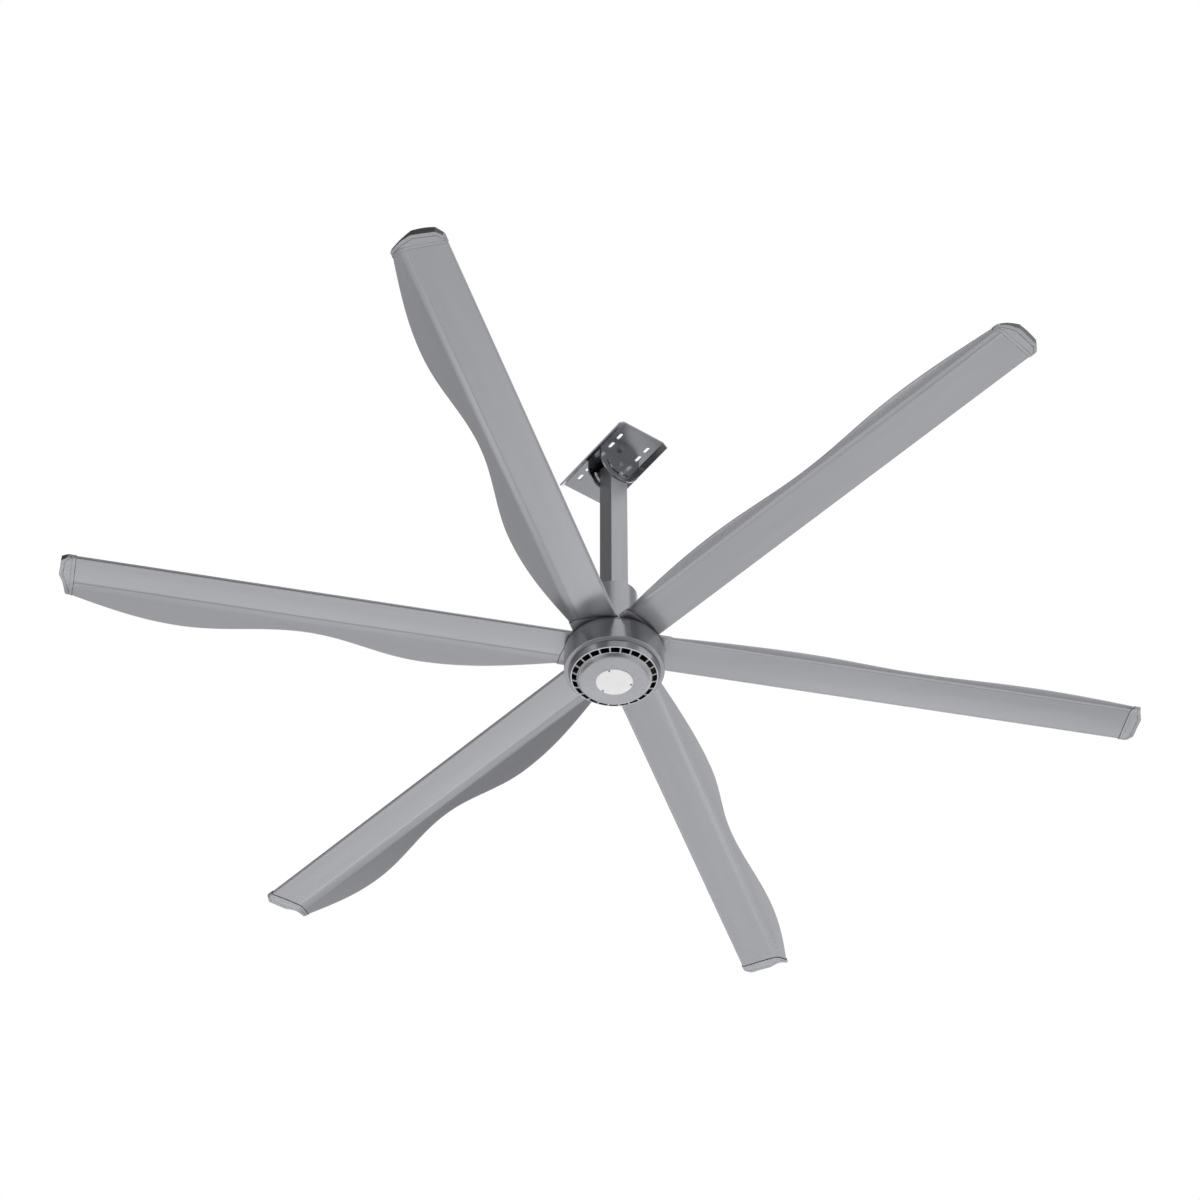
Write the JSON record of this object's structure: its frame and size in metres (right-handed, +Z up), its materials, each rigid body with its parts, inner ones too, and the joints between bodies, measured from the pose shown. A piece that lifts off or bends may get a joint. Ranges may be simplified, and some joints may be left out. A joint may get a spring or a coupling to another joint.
{
  "type": "high volume low speed fan",
  "caption": "Large ceiling fan with a slotted tilting bracket, square downrod, round direct-drive motor drum and long drooped blades with waved trailing edges.",
  "frame": {"origin": "centre of the ceiling plate's top face, on the fan's axis", "axes": "+Z up, out of the plate's mounting face; +X along the plate's long side and the tilt axis"},
  "size_m": [3.645, 3.391, 1.0631],
  "materials": {
    "painted_steel": "satin powder coat over steel",
    "motor_casting": "satin painted die casting",
    "blade_aluminium": "satin silver-grey extrusion",
    "moulded_grey": "satin moulded plastic",
    "badge_white": "smooth white, bare",
    "zinc_steel": "zinc plated",
    "core_iron": "laminated steel",
    "winding_copper": "enamelled copper wire",
    "magnet": "sintered magnet blocks"
  },
  "bodies": {
    "bracket": {"ceiling_plate": "painted_steel", "bracket_ear_right": "painted_steel", "bracket_ear_left": "painted_steel", "pivot_bolt": "zinc_steel", "pivot_washers": "zinc_steel", "pivot_nut": "zinc_steel"},
    "hanger": {"downrod": "painted_steel", "lock_bolt": "zinc_steel", "lock_washers": "zinc_steel", "lock_nut": "zinc_steel", "downrod_foot": "painted_steel", "motor_collar": "motor_casting", "collar_screws": "zinc_steel", "flange_bolts": "zinc_steel", "flange_nuts": "zinc_steel", "axle": "zinc_steel", "axle_nut": "zinc_steel", "stator_core": "core_iron", "stator_windings": "winding_copper"},
    "rotor": {"motor_drum": "motor_casting", "upper_bearing": "zinc_steel", "lower_bearing": "zinc_steel", "rotor_magnets": "magnet", "vent_bell": "motor_casting", "centre_cover": "moulded_grey", "badge_plate": "badge_white", "badge_screws": "zinc_steel", "hub_plate": "motor_casting", "hub_screws": "zinc_steel", "clamp_plate": "motor_casting", "arm_bolts": "zinc_steel", "blade_screws": "zinc_steel", "blade_arm_1": "zinc_steel", "blade_arm_2": "zinc_steel", "blade_arm_3": "zinc_steel", "blade_arm_4": "zinc_steel", "blade_arm_5": "zinc_steel", "blade_arm_6": "zinc_steel", "blade_1": "blade_aluminium", "blade_2": "blade_aluminium", "blade_3": "blade_aluminium", "blade_4": "blade_aluminium", "blade_5": "blade_aluminium", "blade_6": "blade_aluminium", "root_cuff_1": "moulded_grey", "root_cuff_2": "moulded_grey", "root_cuff_3": "moulded_grey", "root_cuff_4": "moulded_grey", "root_cuff_5": "moulded_grey", "root_cuff_6": "moulded_grey", "tip_cap_1": "moulded_grey", "tip_cap_2": "moulded_grey", "tip_cap_3": "moulded_grey", "tip_cap_4": "moulded_grey", "tip_cap_5": "moulded_grey", "tip_cap_6": "moulded_grey"}
  },
  "joints": [
    {"name": "tilt", "type": "hinge", "parent": "bracket", "child": "hanger", "pos_m": [0, 0, -0.044], "axis": [1, 0, 0], "range_deg": [-75, 31]},
    {"name": "spin", "type": "hinge", "parent": "hanger", "child": "rotor", "pos_m": [0, 0, -0.918], "axis": [0, 0, 1], "continuous": true}
  ]
}
